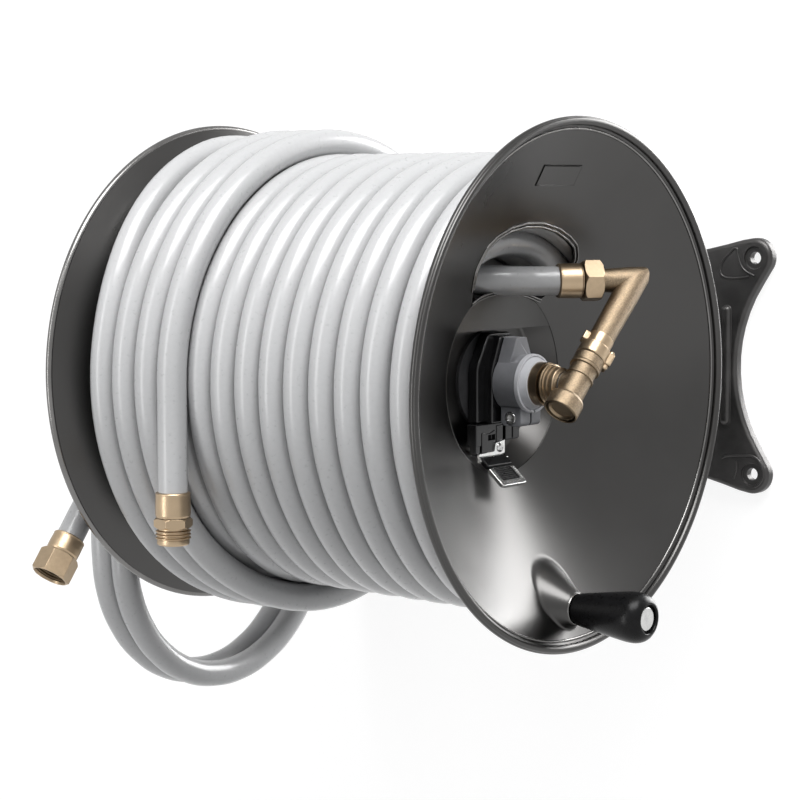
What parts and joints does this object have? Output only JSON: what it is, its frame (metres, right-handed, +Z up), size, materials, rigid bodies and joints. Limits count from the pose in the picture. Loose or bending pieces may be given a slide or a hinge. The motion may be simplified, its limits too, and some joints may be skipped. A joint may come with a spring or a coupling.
{
  "type": "wall-mounted hose reel",
  "caption": "Wall-mounted hand-cranked reel: dished metal drum on a fixed spindle, brass swivel pipe, wound pale hose, leader hose hung behind it.",
  "frame": {"origin": "middle of the four wall holes, on the wall", "axes": "+X along the drum's axis towards the crank, +Y into the wall, +Z up"},
  "size_m": [0.5485, 0.452, 0.4903],
  "materials": {
    "cast": "satin dark grey coat on a casting",
    "sheet": "satin metallic grey",
    "brass": "fine cast and machined brass, satin",
    "hose": "smooth, slightly glossy pale grey",
    "black": "satin black",
    "grey": "satin mid grey",
    "bearing": "satin dark grey",
    "steel": "bright",
    "chrome": "polished",
    "seal": "matt black",
    "lining": "matt brown-black",
    "plate": "satin, left bare"
  },
  "bodies": {
    "mount": {"wall_plate": "cast", "support_arm": "cast", "arm_bolts": "steel", "spindle": "brass", "arm_clamp_screw": "steel", "spindle_plug": "brass", "inlet_nut": "brass", "inlet_ferrule": "brass", "leader_lead_in": "hose", "leader_coil": "hose", "leader_tail": "hose", "leader_ferrule": "brass", "retaining_collar": "grey", "collar_screw": "black", "collar_liner": "grey", "spindle_seals": "seal", "snap_ring": "steel"},
    "drum": {"near_flange": "sheet", "far_flange": "sheet", "name_plate": "plate", "drum_core": "sheet", "tie_bolts": "steel", "tie_nuts": "steel", "near_bush": "bearing", "far_bush": "bearing", "hub_housing": "black", "brake_block": "black", "guide_block": "black", "brake_plate": "chrome", "plate_screw": "steel", "lever_pin": "steel", "swivel_body": "brass", "swivel_nut": "brass", "swivel_plug": "brass", "z_pipe": "brass", "pipe_clip": "brass", "hose_nut": "brass", "feed_ferrule": "brass", "feed_hose": "hose", "hose_layers": "hose", "wound_hose": "hose", "hose_end": "hose", "end_ferrule": "brass", "end_fitting": "brass", "crank_axle": "steel", "crank_nut": "steel"},
    "knob": {"crank_knob": "black", "knob_cap": "steel"},
    "lever": {"brake_lever": "chrome", "lever_grip": "black"},
    "shoe": {"brake_shoe": "lining"},
    "coupling": {"coupling_nut": "brass", "coupling_washer": "seal"}
  },
  "joints": [
    {"name": "drum_spin", "type": "hinge", "parent": "mount", "child": "drum", "pos_m": [0, -0.252, 0], "axis": [1, 0, 0], "continuous": true},
    {"name": "knob_spin", "type": "hinge", "parent": "drum", "child": "knob", "pos_m": [0.1825, -0.252, -0.168], "axis": [1, 0, 0], "continuous": true},
    {"name": "lever_swing", "type": "hinge", "parent": "drum", "child": "lever", "pos_m": [0.1146, -0.2695, -0.0584], "axis": [0, -1, 0], "range_deg": [0, 60]},
    {"name": "shoe_slide", "type": "slide", "parent": "drum", "child": "shoe", "axis": [0, 0, -1], "range_m": [0, 0.0015]},
    {"name": "coupling_spin", "type": "hinge", "parent": "mount", "child": "coupling", "pos_m": [-0.213, -0.404, -0.135], "axis": [0, -0.6069, -0.7948], "continuous": true}
  ],
  "couplings": [
    {"joint": "shoe_slide", "follows": "lever_swing", "m_per_rad": 0.0014319}
  ]
}
